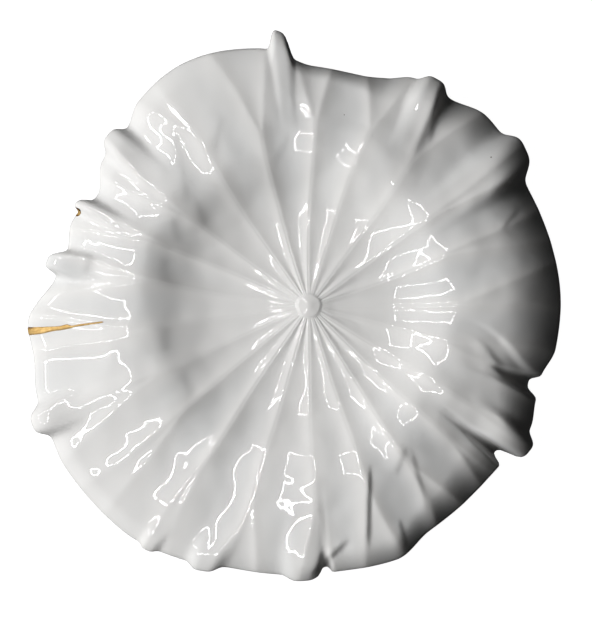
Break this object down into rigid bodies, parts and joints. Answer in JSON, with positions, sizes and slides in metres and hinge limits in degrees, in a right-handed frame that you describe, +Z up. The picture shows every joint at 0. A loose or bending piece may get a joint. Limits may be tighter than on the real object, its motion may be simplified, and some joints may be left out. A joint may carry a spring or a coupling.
{
  "type": "kintsugi bowl",
  "caption": "Shallow porcelain bowl shaped as a lotus leaf with raised veins and a ruffled lip, its split and chip filled with gold lacquer",
  "frame": {"origin": "middle of the bounding box at its bottom, on the surface that the foot ring stands on", "axes": "+Z up out of the hollow; +X away from the gold seam, which is at the lip on the -X side; +Y towards the pointed ear of the lip"},
  "size_m": [0.297, 0.3056, 0.0356],
  "materials": {
    "porcelain": "clear gloss glaze on white porcelain",
    "gold_lacquer": "gold powder on lacquer, softly polished"
  },
  "bodies": {
    "root": {"bowl": "porcelain", "gold_seam": "gold_lacquer", "gold_chip": "gold_lacquer"}
  },
  "joints": []
}
